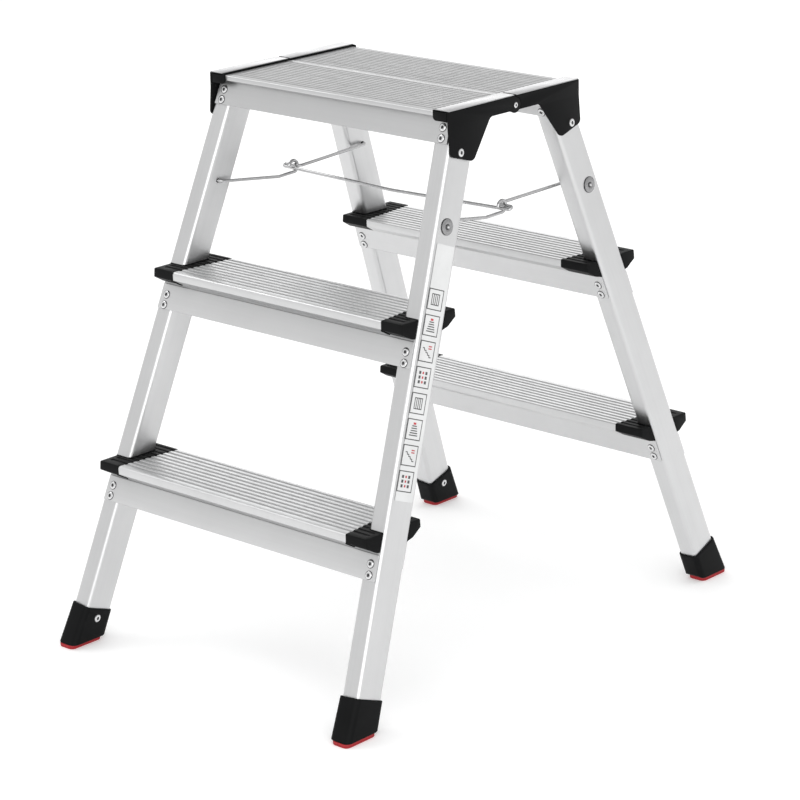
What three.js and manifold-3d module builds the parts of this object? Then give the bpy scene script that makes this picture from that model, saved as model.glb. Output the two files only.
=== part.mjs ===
// A double-sided folding step ladder. Two like half frames, each with two splayed legs, two treads and
// half of the platform, meet at a hinge across the middle of the platform. Wire stays hold them apart.
// Millimetres, +X to the right, the front half on the -Y side, +Z up, origin on the floor at the middle.
import * as THREE from "three";
import { mergeVertices } from "three/addons/utils/BufferGeometryUtils.js";
import Module from "manifold-3d";

// Overall sizes
const HEIGHT = 660;
const GAP = 0.3;
const TREAD_TOPS = { lower: 220, upper: 440 };

// Legs: round-cornered box tube, leaning outwards in Y and splayed outwards in X
const LEG_LEAN = 0.378;
const LEG_SPLAY = 0.081;
const LEG_Y_AT_TOP = 74.5;
const LEG_X_AT_TOP = 167.3;
const LEG_WIDTH = 25;
const LEG_DEPTH = 40;
const LEG_CORNER = 5;
const LEG_WALL = 1.6;
const LEG_BOTTOM = 9.5;
const LEG_TOP = 651;

// Treads: ribbed channel with a nose on each side and a flange down each face of the legs
const NOSE_OUT = 48.4;
const NOSE_IN = 39.4;
const NOSE_DROP = 10;
const DECK_THICKNESS = 2.4;
const FLANGE = 1.8;
const FLANGE_DROP_OUT = 50;
const FLANGE_DROP_IN = 48;
const TREAD_END_INSET = 3.4;
const NOTCH_DROP = 19.4;
const CAP_WIDTH_OUT = 31;
const CAP_WIDTH_IN = 40;
const CAP_PROUD = 0.5;
const RIB_FIRST = -41.2;
const RIB_PITCH = 8.68;
const RIBS = 10;
const GROOVE_WIDTH = 4.3;
const GROOVE_DEPTH = 0.8;

// Platform: two ribbed halves that meet at the middle
const DECK_TOP = 657;
const DECK_HALF_LENGTH = 181.3;
const DECK_EDGE_Y = 111.2;
const DECK_LIP = 5.4;
const SEAM_HALF_GAP = 0.4;
const SEAM_LIP = 5.6;
const PLATFORM_FLANGE_BOTTOM = 622;
const PLATFORM_RIBS = 15;

// Hinge brackets
const HINGE_Z = 648;
const BRACKET_X = 184.6;
const BRACKET_THICKNESS = 3;
const BRACKET_EDGE_Y = 113.5;
const WEB_BOTTOM = 642;
const EAR_RADIUS = 9;
const TOP_FLANGE_WIDTH = 21;
const TOP_FLANGE = [657.3, 658.9];
const EDGE_TAB_WIDTH = 24;
const EDGE_TAB_BOTTOM = 647;
const BRACKET_RIVET = { y: -97, z: 611.5 };
const PIN_RADIUS = 2.5;
const RIVET_HEAD = 5;
const RIVET_SHANK = 2.2;

// Feet
const SHOE_WALL = 2.2;
const SHOE_BOTTOM = 5;
const SHOE_TOP = 42.8;
const SHOE_TOP_FALL = 0.362;
const TOE_FLARE = 5;
const SOLE = { x: 221.3, y: -326.6, width: 25, depth: 49, corner: 5, top: 4.7 };
const SHOE_RIVET_Z = 31;
const HEEL_CHAMFER = { depth: 13.5, height: 13.5 };

// Wire stays
const WIRE_RADIUS = 2;
const STAY_PIVOT = { y: 125.5, z: 534 };
const STAY_MEET = { x: 163, z: 528.5 };
const STAY_ARM_X = 159.5;
const STAY_END_X = 194.2;
const EYE_RADIUS = 7;
const EYE_OPEN_ANGLE = 55;
const HAIRPIN_X = 172.5;
const HAIRPIN_HALF = { y: 2.3, z: 1.25 };
const BAIL_CORNER_X = 154.4;
const WASHER = { radius: 9.5, thickness: 1.5, hole: 2.5 };

const HINGE_PIN = { head: 3.5, headHeight: 1.8, length: 5.2 };
const BRACKET_RIVET_SIZE = { headHeight: 1.7, length: 5.2 };
const SHOE_RIVET_SIZE = { headHeight: 1.5, length: 1.6 };

const LABEL = { width: 29.5, thickness: 0.3, bottom: 243, top: 520 };

const wasm = await Module();
wasm.setup();

const material = (color, roughness, metalness) =>
  new THREE.MeshStandardMaterial({ color, roughness, metalness, flatShading: true });
const finishes = {
  aluminium: () => material(0xc9cbcc, 0.42, 0.9),
  brightEdge: () => material(0xe6e7e8, 0.35, 0.9),
  blackPlastic: () => material(0x1c1d1e, 0.6, 0),
  redRubber: () => material(0xa31822, 0.75, 0),
  steel: () => material(0xb9bbbd, 0.25, 1),
  label: () => material(0xeef0f0, 0.55, 0),
};

// A closed three.js geometry as a solid that can be cut and joined.
function solid(geometry) {
  const bare = geometry.index ? geometry.toNonIndexed() : geometry.clone();
  bare.deleteAttribute("normal");
  bare.deleteAttribute("uv");
  const merged = mergeVertices(bare, 1e-4);
  const mesh = new wasm.Mesh({
    numProp: 3,
    vertProperties: new Float32Array(merged.attributes.position.array),
    triVerts: new Uint32Array(merged.index.array),
  });
  return new wasm.Manifold(mesh);
}

function geometryOf(shape) {
  const mesh = shape.getMesh();
  const geometry = new THREE.BufferGeometry();
  const places = new Float32Array(mesh.vertProperties);
  geometry.setAttribute("position", new THREE.BufferAttribute(places, 3));
  geometry.setIndex(new THREE.BufferAttribute(new Uint32Array(mesh.triVerts), 1));
  const flat = geometry.toNonIndexed();
  flat.computeVertexNormals();
  return flat;
}

// Moves every vertex of a geometry by a function of its place.
function remap(geometry, move) {
  const position = geometry.attributes.position;
  const point = new THREE.Vector3();
  for (let i = 0; i < position.count; i += 1) {
    point.fromBufferAttribute(position, i);
    move(point);
    position.setXYZ(i, point.x, point.y, point.z);
  }
  return geometry;
}

// The same shape reflected in the plane x = 0, with its triangles turned over so they still face out.
function mirrored(geometry) {
  const flipped = geometry.clone().scale(-1, 1, 1);
  const position = flipped.attributes.position;
  const [second, third] = [new THREE.Vector3(), new THREE.Vector3()];
  for (let i = 0; i < position.count; i += 3) {
    second.fromBufferAttribute(position, i + 1);
    third.fromBufferAttribute(position, i + 2);
    position.setXYZ(i + 1, third.x, third.y, third.z);
    position.setXYZ(i + 2, second.x, second.y, second.z);
  }
  flipped.computeVertexNormals();
  return flipped;
}

const outline = (points) => new THREE.Shape(points.map(([a, b]) => new THREE.Vector2(a, b)));

function upright(shape, bottom, top, curveSegments = 3) {
  const options = { depth: top - bottom, bevelEnabled: false, curveSegments };
  return new THREE.ExtrudeGeometry(shape, options).translate(0, 0, bottom);
}

// A section drawn in (y, z), extruded along X from x0 to x1.
function alongX(points, x0, x1) {
  const options = { depth: x1 - x0, bevelEnabled: false };
  const turned = new THREE.Matrix4().makeBasis(
    new THREE.Vector3(0, 1, 0),
    new THREE.Vector3(0, 0, 1),
    new THREE.Vector3(1, 0, 0),
  );
  return new THREE.ExtrudeGeometry(outline(points), options).applyMatrix4(turned).translate(x0, 0, 0);
}

function boxBetween(low, high) {
  const size = high.map((value, i) => value - low[i]);
  const middle = high.map((value, i) => (value + low[i]) / 2);
  return new THREE.BoxGeometry(...size).translate(...middle);
}

function rodAlongX(radius, x0, x1, y, z, sides = 16) {
  const rod = new THREE.CylinderGeometry(radius, radius, x1 - x0, sides).rotateZ(Math.PI / 2);
  return rod.translate((x0 + x1) / 2, y, z);
}

function roundedRectangle(width, depth, corner) {
  const [w, d] = [width / 2, depth / 2];
  const shape = new THREE.Shape();
  shape.moveTo(w - corner, -d);
  shape.absarc(w - corner, -d + corner, corner, -Math.PI / 2, 0);
  shape.absarc(w - corner, d - corner, corner, 0, Math.PI / 2);
  shape.absarc(-w + corner, d - corner, corner, Math.PI / 2, Math.PI);
  shape.absarc(-w + corner, -d + corner, corner, Math.PI, 1.5 * Math.PI);
  return shape;
}

// Leg space is upright: u across, v in depth, z height. This leans it to the front right leg.
const legCosine = 1 / Math.hypot(1, LEG_LEAN);
const legMatrix = new THREE.Matrix4().set(
  1, 0, -LEG_SPLAY, LEG_X_AT_TOP + LEG_SPLAY * HEIGHT,
  0, 1 / legCosine, LEG_LEAN, -(LEG_Y_AT_TOP + LEG_LEAN * HEIGHT),
  0, 0, 1, 0,
  0, 0, 0, 1,
);
const legX = (z) => LEG_X_AT_TOP + LEG_SPLAY * (HEIGHT - z);
const legY = (z) => -(LEG_Y_AT_TOP + LEG_LEAN * (HEIGHT - z));
const legOuterX = (z) => legX(z) + LEG_WIDTH / 2;
const legHalfDepth = LEG_DEPTH / 2 / legCosine;
const treadEndX = (z) => legOuterX(z) - TREAD_END_INSET;

// A tilt about Y that lays a disc made square to X flat on the splayed side of a leg.
const splayAngle = Math.atan(LEG_SPLAY);

function legPrism(grow, bottom, top) {
  const shape = roundedRectangle(LEG_WIDTH + 2 * grow, LEG_DEPTH + 2 * grow, LEG_CORNER + grow);
  return upright(shape, bottom, top).applyMatrix4(legMatrix);
}

function makeLeg() {
  const bore = roundedRectangle(
    LEG_WIDTH - 2 * LEG_WALL,
    LEG_DEPTH - 2 * LEG_WALL,
    LEG_CORNER - LEG_WALL,
  );
  const hollow = upright(bore, LEG_BOTTOM - 5, LEG_TOP + 5).applyMatrix4(legMatrix);
  const stayHole = rodAlongX(WIRE_RADIUS + GAP, 100, 240, -STAY_PIVOT.y, STAY_PIVOT.z, 12);
  const { y, z } = BRACKET_RIVET;
  const rivetHole = rodAlongX(PIN_RADIUS + GAP, legX(z), 240, y, z, 12);
  return solid(legPrism(0, LEG_BOTTOM, LEG_TOP))
    .subtract(solid(hollow))
    .subtract(solid(stayHole))
    .subtract(solid(rivetHole));
}

// The flange faces follow the legs' lean: y at a drop below a tread's top, from the leg's middle there.
const flangeY = (drop, offset) => -LEG_LEAN * drop + offset;
const flangeInside = legHalfDepth + GAP;
const flangeOutside = flangeInside + FLANGE;

// Outer profile of a tread from the outer flange, over both noses, to the inner flange (y, drop).
function noseOutline(proud) {
  const out = NOSE_OUT + proud;
  const inner = NOSE_IN + proud;
  return [
    [-34.2, -18.4],
    [-out, -NOSE_DROP - proud / 2],
    [-out, proud - 1.4],
    [-out + 1.4, proud],
    [inner - 1.4, proud],
    [inner, proud - 1.4],
    [inner, -NOSE_DROP + 1.2 - proud / 2],
    [25.6, -17],
  ];
}

function treadSection() {
  const [low, high] = [FLANGE_DROP_OUT, FLANGE_DROP_IN];
  const outer = [
    [flangeY(low, -flangeOutside), -low],
    [flangeY(19, -flangeOutside), -19],
    ...noseOutline(0),
    [flangeY(17.4, flangeOutside), -17.4],
    [flangeY(high, flangeOutside), -high],
  ];
  const inner = [
    [flangeY(high, flangeInside), -high],
    [flangeY(15.6, flangeInside), -15.6],
    [26, -15.2],
    [NOSE_IN - FLANGE, -8.2],
    [NOSE_IN - FLANGE, -DECK_THICKNESS],
    [-NOSE_OUT + FLANGE, -DECK_THICKNESS],
    [-NOSE_OUT + FLANGE, -9],
    [-33.2, -16.6],
    [flangeY(17, -flangeInside), -17],
    [flangeY(low, -flangeInside), -low],
  ];
  return [...outer, ...inner];
}

const place = (points, y, z) => points.map(([a, b]) => [a + y, b + z]);

// The grooves between a tread's ribs, from its outermost rib to its innermost.
function treadGrooves(top) {
  const cuts = [];
  const halfLength = treadEndX(top) + 10;
  for (let i = 0; i < RIBS - 1; i += 1) {
    const y = legY(top) + RIB_FIRST + (i + 0.5) * RIB_PITCH;
    const low = [-halfLength, y - GROOVE_WIDTH / 2, top - GROOVE_DEPTH];
    cuts.push(solid(boxBetween(low, [halfLength, y + GROOVE_WIDTH / 2, top + 2])));
  }
  return cuts;
}

// The slanting line where a tread's deck ends and its cap begins, as a plan outline out to x = 260.
function capPlan(top, inset) {
  const y0 = legY(top) - NOSE_OUT;
  const y1 = legY(top) + NOSE_IN;
  const slope = (CAP_WIDTH_IN - CAP_WIDTH_OUT) / (y1 - y0);
  const edge = (y) => treadEndX(top) - CAP_WIDTH_OUT - slope * (y - y0) + inset;
  return outline([
    [edge(y0 - 5), y0 - 5],
    [260, y0 - 5],
    [260, y1 + 5],
    [edge(y1 + 5), y1 + 5],
  ]);
}

function makeTread(top) {
  const bar = alongX(place(treadSection(), legY(top), top), -1, 1);
  remap(bar, (point) => {
    point.x *= treadEndX(point.z);
  });
  const notch = upright(capPlan(top, 0), top - NOTCH_DROP, top + 5);
  let tread = solid(bar);
  for (const cut of treadGrooves(top)) tread = tread.subtract(cut);
  return tread.subtract(solid(notch)).subtract(solid(mirrored(notch)));
}

function makeCap(top) {
  const bottom = -NOTCH_DROP + GAP;
  const section = [
    [flangeY(-bottom, -flangeOutside), bottom],
    ...noseOutline(CAP_PROUD),
    [flangeY(17.4, flangeOutside), -17.4],
    [flangeY(-bottom, flangeOutside), bottom],
  ];
  const bar = alongX(place(section, legY(top), top), 0, 1);
  remap(bar, (point) => {
    point.x = point.x < 0.5 ? legX(top) - 60 : treadEndX(point.z);
  });
  const plan = upright(capPlan(top, GAP), top - 40, top + 20);
  const legCut = legPrism(GAP + 0.1, top - 40, top + 20);
  return solid(bar).intersect(solid(plan)).subtract(solid(legCut));
}

function makePlatformHalf() {
  const flange = (z, offset) => legY(z) + offset;
  const bottom = PLATFORM_FLANGE_BOTTOM;
  const under = DECK_TOP - DECK_THICKNESS;
  const lip = DECK_TOP - DECK_LIP;
  const section = [
    [flange(bottom, -flangeOutside), bottom],
    [flange(lip - 1, -flangeOutside), lip - 1],
    [-DECK_EDGE_Y + 0.6, lip - 0.6],
    [-DECK_EDGE_Y, lip],
    [-DECK_EDGE_Y, DECK_TOP - 1],
    [-DECK_EDGE_Y + 1, DECK_TOP],
    [-SEAM_HALF_GAP, DECK_TOP],
    [-SEAM_HALF_GAP, DECK_TOP - SEAM_LIP],
    [-SEAM_HALF_GAP - FLANGE, DECK_TOP - SEAM_LIP],
    [-SEAM_HALF_GAP - FLANGE, under],
    [flange(under, flangeOutside), under],
    [flange(bottom, flangeOutside), bottom],
    [flange(bottom, flangeInside), bottom],
    [flange(under, flangeInside), under],
    [flange(under, -flangeInside), under],
    [flange(bottom, -flangeInside), bottom],
  ];
  const bar = alongX(section, -1, 1);
  remap(bar, (point) => {
    const end = point.z > under - 0.1 ? DECK_HALF_LENGTH : treadEndX(point.z);
    point.x *= Math.min(end, DECK_HALF_LENGTH);
  });
  let half = solid(bar);
  const pitch = (DECK_EDGE_Y - 5) / PLATFORM_RIBS;
  for (const cut of platformGrooves(pitch)) half = half.subtract(cut);
  return half;
}

function platformGrooves(pitch) {
  const cuts = [];
  const end = BRACKET_X - TOP_FLANGE_WIDTH - 1;
  for (let i = 0; i < PLATFORM_RIBS - 1; i += 1) {
    const y = -DECK_EDGE_Y + 4 + (i + 1) * pitch;
    const low = [-end, y - pitch / 5, DECK_TOP - 0.6];
    cuts.push(solid(boxBetween(low, [end, y + pitch / 5, DECK_TOP + 2])));
  }
  return cuts;
}

// Rounded ear round the hinge pin, drawn in (y, z) and reaching past the middle of the platform.
function earOutline(radius) {
  const points = [];
  for (let i = 0; i <= 12; i += 1) {
    const angle = -Math.PI / 2 + (Math.PI * i) / 12;
    points.push([radius * Math.cos(angle), HINGE_Z + radius * Math.sin(angle)]);
  }
  return points;
}

// One bracket on the right end of the front half. An outer ear laps over its neighbour's inner ear.
function makeBracket(outerEar) {
  const inside = BRACKET_X - BRACKET_THICKNESS;
  const half = BRACKET_THICKNESS / 2 - GAP / 2;
  const clearance = EAR_RADIUS + 0.5;
  const web = [
    [-BRACKET_EDGE_Y, WEB_BOTTOM - 1],
    [-42, WEB_BOTTOM - 1],
    [-40.5, WEB_BOTTOM],
    [-clearance, WEB_BOTTOM],
    [-clearance, TOP_FLANGE[1]],
    [-BRACKET_EDGE_Y, TOP_FLANGE[1]],
  ];
  const lobe = [
    [-BRACKET_EDGE_Y, WEB_BOTTOM],
    [-BRACKET_EDGE_Y, 613.7],
    [-112.6, 610.6],
    [-110.6, 608.6],
    [-79.6, 599],
    [-76, 599.4],
    [-72.9, 603],
    [-43.2, WEB_BOTTOM],
  ];
  const ear = [
    [-clearance - 1, HINGE_Z - EAR_RADIUS + 2],
    [-6, HINGE_Z - EAR_RADIUS + 0.6],
    ...earOutline(EAR_RADIUS),
    [-clearance - 1, HINGE_Z + EAR_RADIUS],
  ];
  const lean = new THREE.Matrix4().set(
    1, 0, -LEG_SPLAY, LEG_SPLAY * WEB_BOTTOM,
    0, 1, 0, 0,
    0, 0, 1, 0,
    0, 0, 0, 1,
  );
  const [earLow, earHigh] = outerEar ? [BRACKET_X - half, BRACKET_X] : [inside, inside + half];
  const tabTop = TOP_FLANGE[1];
  const { y, z } = BRACKET_RIVET;
  const flangeLow = [BRACKET_X - TOP_FLANGE_WIDTH, -BRACKET_EDGE_Y, TOP_FLANGE[0]];
  const tabLow = [BRACKET_X - EDGE_TAB_WIDTH, -BRACKET_EDGE_Y, EDGE_TAB_BOTTOM];
  return solid(alongX(web, inside, BRACKET_X))
    .add(solid(alongX(lobe, inside, BRACKET_X).applyMatrix4(lean)))
    .add(solid(alongX(ear, earLow, earHigh)))
    .add(solid(boxBetween(flangeLow, [BRACKET_X, -SEAM_HALF_GAP, TOP_FLANGE[1]])))
    .add(solid(boxBetween(tabLow, [BRACKET_X, -DECK_EDGE_Y - GAP, tabTop])))
    .subtract(solid(rodAlongX(PIN_RADIUS + 0.15, 150, 220, 0, HINGE_Z, 20)))
    .subtract(solid(rodAlongX(PIN_RADIUS + GAP, 150, 220, y, z, 12)));
}

function makeEdgeStrip() {
  const low = [BRACKET_X - TOP_FLANGE_WIDTH + 0.4, -BRACKET_EDGE_Y + 0.6, TOP_FLANGE[1] + 0.2];
  return solid(boxBetween(low, [BRACKET_X - 0.4, -SEAM_HALF_GAP, HEIGHT]));
}

// A rivet with a low domed head, its shank towards -X and its head's underside at x = 0.
function rivetGeometry(headRadius, shankRadius, shankLength, headHeight, sides = 16) {
  const profile = [
    [0, -shankLength],
    [shankRadius, -shankLength],
    [shankRadius, 0],
    [headRadius, 0],
    [headRadius, headHeight * 0.35],
    [headRadius * 0.72, headHeight],
    [0, headHeight],
  ].map(([radius, height]) => new THREE.Vector2(radius, height));
  return new THREE.LatheGeometry(profile, sides).rotateZ(-Math.PI / 2);
}

function makeHingePin() {
  const { head, headHeight, length } = HINGE_PIN;
  const pin = rivetGeometry(head, PIN_RADIUS, length, headHeight, 20);
  return solid(pin.translate(BRACKET_X + 0.2, 0, HINGE_Z));
}

function makeBracketRivet() {
  const { y, z } = BRACKET_RIVET;
  const face = BRACKET_X + LEG_SPLAY * (WEB_BOTTOM - z);
  const { headHeight, length } = BRACKET_RIVET_SIZE;
  const rivet = rivetGeometry(RIVET_HEAD, RIVET_SHANK, length, headHeight).rotateY(-splayAngle);
  return solid(rivet.translate(face + 0.2, y, z));
}

// Shoe: a sleeve cut almost square to the leg at its top and level at its foot, with a flared toe.
function makeShoe() {
  const outside = roundedRectangle(
    LEG_WIDTH + 2 * SHOE_WALL,
    LEG_DEPTH + 2 * SHOE_WALL,
    LEG_CORNER + SHOE_WALL,
  );
  const block = upright(outside, SHOE_BOTTOM, SHOE_TOP + 20);
  remap(block, (point) => {
    if (point.y < -10 && point.z < SHOE_BOTTOM + 1) point.y -= TOE_FLARE * legCosine;
  });
  const slope = { u: LEG_SPLAY, v: -SHOE_TOP_FALL };
  const lid = upright(roundedRectangle(90, 90, 5), 0, 60);
  remap(lid, (point) => {
    point.z += SHOE_TOP + slope.u * point.x + slope.v * point.y;
  });
  const heelEdge = LEG_DEPTH / 2 + 12;
  const heel = [
    [heelEdge - HEEL_CHAMFER.depth, SHOE_BOTTOM - 1],
    [heelEdge, SHOE_BOTTOM - 1],
    [heelEdge, SHOE_BOTTOM + HEEL_CHAMFER.height],
  ];
  const inLegSpace = solid(block).subtract(solid(lid)).subtract(solid(alongX(heel, -40, 40)));
  const leaned = geometryOf(inLegSpace).applyMatrix4(legMatrix);
  const rivetHole = rodAlongX(PIN_RADIUS + GAP, 150, legX(SHOE_RIVET_Z), shoeRivetY(), SHOE_RIVET_Z, 12);
  return solid(leaned)
    .subtract(solid(legPrism(GAP, LEG_BOTTOM - GAP, 120)))
    .subtract(solid(rivetHole));
}

const shoeRivetY = () => legY(SHOE_RIVET_Z) - 1.5;

function makeShoeRivet() {
  const face = legX(SHOE_RIVET_Z) - LEG_WIDTH / 2 - SHOE_WALL;
  const { headHeight, length } = SHOE_RIVET_SIZE;
  const rivet = rivetGeometry(RIVET_HEAD, RIVET_SHANK, length, headHeight);
  rivet.rotateY(Math.PI - splayAngle);
  return solid(rivet.translate(face - 0.2, shoeRivetY(), SHOE_RIVET_Z));
}

function makeSole() {
  const pad = upright(roundedRectangle(SOLE.width, SOLE.depth, SOLE.corner), 0, SOLE.top);
  return solid(pad.translate(SOLE.x, SOLE.y, 0));
}

// A path of straight runs with rounded corners, sampled only where it bends.
class BentWire extends THREE.Curve {
  constructor(points) {
    super();
    this.points = points;
  }
  getPoint(t) {
    return this.points[Math.round(t * (this.points.length - 1))].clone();
  }
  getPointAt(u) {
    return this.getPoint(u);
  }
  getTangentAt(u) {
    const last = this.points.length - 1;
    const i = Math.round(u * last);
    const before = this.points[Math.max(i - 1, 0)];
    const after = this.points[Math.min(i + 1, last)];
    const here = this.points[i];
    const back = here.clone().sub(before).normalize();
    const ahead = after.clone().sub(here).normalize();
    return back.add(ahead).normalize();
  }
}

function roundCorners(corners, steps = 5) {
  const points = [corners[0].at];
  for (let i = 1; i < corners.length - 1; i += 1) {
    const { at, radius } = corners[i];
    if (!radius) {
      points.push(at);
      continue;
    }
    const toBack = corners[i - 1].at.clone().sub(at).normalize();
    const toFront = corners[i + 1].at.clone().sub(at).normalize();
    const half = toBack.angleTo(toFront) / 2;
    const reach = radius / Math.tan(half);
    const middle = toBack.clone().add(toFront).normalize().multiplyScalar(radius / Math.sin(half)).add(at);
    const start = at.clone().addScaledVector(toBack, reach).sub(middle);
    const end = at.clone().addScaledVector(toFront, reach).sub(middle);
    const axis = start.clone().cross(end).normalize();
    for (let k = 0; k <= steps; k += 1) {
      const turn = (start.angleTo(end) * k) / steps;
      points.push(start.clone().applyAxisAngle(axis, turn).add(middle));
    }
  }
  points.push(corners.at(-1).at);
  return points;
}

const corner = (x, y, z, radius = 0) => ({ at: new THREE.Vector3(x, y, z), radius });

function wire(corners, steps) {
  const path = new BentWire(roundCorners(corners, steps));
  const section = new THREE.Shape().absarc(0, 0, WIRE_RADIUS, 0, 2 * Math.PI);
  const options = { steps: path.points.length - 1, extrudePath: path, curveSegments: 5 };
  return solid(new THREE.ExtrudeGeometry(section, options));
}

// The bail pivots in the rear legs. Its crossbar turns back at each end in a hairpin, which a hook holds.
function makeBail() {
  const { y, z } = STAY_PIVOT;
  const high = { y: HAIRPIN_HALF.y, z: STAY_MEET.z + HAIRPIN_HALF.z };
  const low = { y: -HAIRPIN_HALF.y, z: STAY_MEET.z - HAIRPIN_HALF.z };
  const pin = Math.hypot(HAIRPIN_HALF.y, HAIRPIN_HALF.z) - 0.01;
  const side = [
    corner(STAY_END_X, y, z),
    corner(STAY_ARM_X, y, z, 5),
    corner(BAIL_CORNER_X, high.y, high.z, 4),
    corner(HAIRPIN_X, high.y, high.z, pin),
    corner(HAIRPIN_X, low.y, low.z, pin),
  ];
  const mirrored = side.map(({ at, radius }) => corner(-at.x, at.y, at.z, radius)).reverse();
  return wire([...side, ...mirrored], 4);
}

// The right hook pivots in the front leg, passes under the hairpin and curls up behind it.
function makeHook() {
  const { y, z } = STAY_PIVOT;
  const curl = [];
  for (let angle = -90; angle <= EYE_OPEN_ANGLE; angle += 14.5) {
    const turn = THREE.MathUtils.degToRad(angle);
    curl.push(corner(STAY_MEET.x, EYE_RADIUS * Math.cos(turn), STAY_MEET.z + EYE_RADIUS * Math.sin(turn)));
  }
  return wire([
    corner(STAY_END_X, -y, z),
    corner(STAY_ARM_X, -y, z, 5),
    corner(STAY_MEET.x - 0.6, -26, STAY_MEET.z - 7.6, 12),
    corner(STAY_MEET.x, -4, STAY_MEET.z - 7.2),
    ...curl,
  ], 4);
}

function makeWasher() {
  const { radius, thickness, hole } = WASHER;
  const profile = [
    [hole + GAP, 0],
    [radius, 0],
    [radius, thickness * 0.6],
    [radius - 1.5, thickness],
    [hole + GAP, thickness],
    [hole + GAP, 0],
  ].map(([r, height]) => new THREE.Vector2(r, height));
  const disc = new THREE.LatheGeometry(profile, 24).rotateZ(-Math.PI / 2).rotateY(-splayAngle);
  return solid(disc.translate(legOuterX(STAY_PIVOT.z) + 0.25, -STAY_PIVOT.y, STAY_PIVOT.z));
}

function makeLabel() {
  const { width, thickness, bottom, top } = LABEL;
  const plate = upright(roundedRectangle(thickness, width, thickness / 3), bottom, top);
  plate.translate(LEG_WIDTH / 2 + GAP + thickness / 2, 0, 0);
  return solid(plate.applyMatrix4(legMatrix));
}

const ladder = new THREE.Group();

function addMesh(group, name, shape, finish, reflected = false) {
  const geometry = geometryOf(shape);
  const mesh = new THREE.Mesh(reflected ? mirrored(geometry) : geometry, finishes[finish]());
  mesh.name = name;
  group.add(mesh);
}

// The pieces of a half frame: those at its right-hand end are repeated, mirrored, at its left-hand end.
const endPieces = {
  leg: [makeLeg(), "aluminium"],
  lower_tread_cap: [makeCap(TREAD_TOPS.lower), "blackPlastic"],
  upper_tread_cap: [makeCap(TREAD_TOPS.upper), "blackPlastic"],
  platform_edge_strip: [makeEdgeStrip(), "brightEdge"],
  bracket_rivet: [makeBracketRivet(), "steel"],
  shoe: [makeShoe(), "blackPlastic"],
  shoe_rivet: [makeShoeRivet(), "steel"],
  sole: [makeSole(), "redRubber"],
  stay_washer: [makeWasher(), "steel"],
};
const widePieces = {
  platform_half: [makePlatformHalf(), "aluminium"],
  lower_tread: [makeTread(TREAD_TOPS.lower), "aluminium"],
  upper_tread: [makeTread(TREAD_TOPS.upper), "aluminium"],
};
const brackets = { outer: makeBracket(true), inner: makeBracket(false) };

// The rear half is the front half turned half a turn about Z, so its right-hand end is on the left.
for (const half of ["front", "rear"]) {
  const group = new THREE.Group();
  const turned = half === "rear";
  group.rotation.z = turned ? Math.PI : 0;
  ladder.add(group);
  for (const [name, [shape, finish]] of Object.entries(widePieces)) {
    addMesh(group, `${half}_${name}`, shape, finish);
  }
  for (const end of [1, -1]) {
    const side = (end > 0) === turned ? "left" : "right";
    const bracket = end > 0 ? brackets.outer : brackets.inner;
    addMesh(group, `${half}_${side}_hinge_bracket`, bracket, "blackPlastic", end < 0);
    for (const [name, [shape, finish]] of Object.entries(endPieces)) {
      addMesh(group, `${half}_${side}_${name}`, shape, finish, end < 0);
    }
  }
}

for (const side of ["right", "left"]) {
  addMesh(ladder, `hinge_pin_${side}`, makeHingePin(), "steel", side === "left");
  addMesh(ladder, `front_stay_hook_${side}`, makeHook(), "steel", side === "left");
}
addMesh(ladder, "rear_stay_bail", makeBail(), "steel");
addMesh(ladder, "pictogram_label", makeLabel(), "label");

export default ladder;
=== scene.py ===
import math

import bmesh
import bpy
from mathutils import Matrix, Vector


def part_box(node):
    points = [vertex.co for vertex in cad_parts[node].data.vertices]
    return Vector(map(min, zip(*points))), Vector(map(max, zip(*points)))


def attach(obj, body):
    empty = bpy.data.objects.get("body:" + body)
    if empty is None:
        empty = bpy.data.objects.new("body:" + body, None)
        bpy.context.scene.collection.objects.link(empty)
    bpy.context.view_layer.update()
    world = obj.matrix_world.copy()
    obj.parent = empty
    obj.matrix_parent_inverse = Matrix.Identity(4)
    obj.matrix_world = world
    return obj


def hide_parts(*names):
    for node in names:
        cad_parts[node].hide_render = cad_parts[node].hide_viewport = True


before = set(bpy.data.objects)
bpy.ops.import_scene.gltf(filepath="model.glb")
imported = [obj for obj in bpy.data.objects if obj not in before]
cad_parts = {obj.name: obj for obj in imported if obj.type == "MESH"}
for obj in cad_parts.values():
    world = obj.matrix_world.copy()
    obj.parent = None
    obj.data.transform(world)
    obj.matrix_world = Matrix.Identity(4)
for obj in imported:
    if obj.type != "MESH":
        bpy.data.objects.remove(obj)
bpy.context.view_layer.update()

# A double-sided folding step ladder. Sizes are in millimetres in the part's frame, and MM turns them
# into metres when a mesh is finished. The front half stands on the -Y side; the rear half is the same
# half turned half a turn about Z, so every end piece is drawn once, for the front right.
MM = 0.001

# Legs
HEIGHT = 660
LEG_LEAN = 0.378
LEG_SPLAY = 0.081
LEG_Y_AT_TOP = 74.5
LEG_X_AT_TOP = 167.3
LEG_WIDTH = 25
LEG_DEPTH = 40
LEG_CORNER = 5
LEG_WALL = 1.6
LEG_BOTTOM = 9.5
LEG_TOP = 651
LEG_COSINE = 1 / math.hypot(1, LEG_LEAN)
LEG_HALF_DEPTH = LEG_DEPTH / 2 / LEG_COSINE

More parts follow.
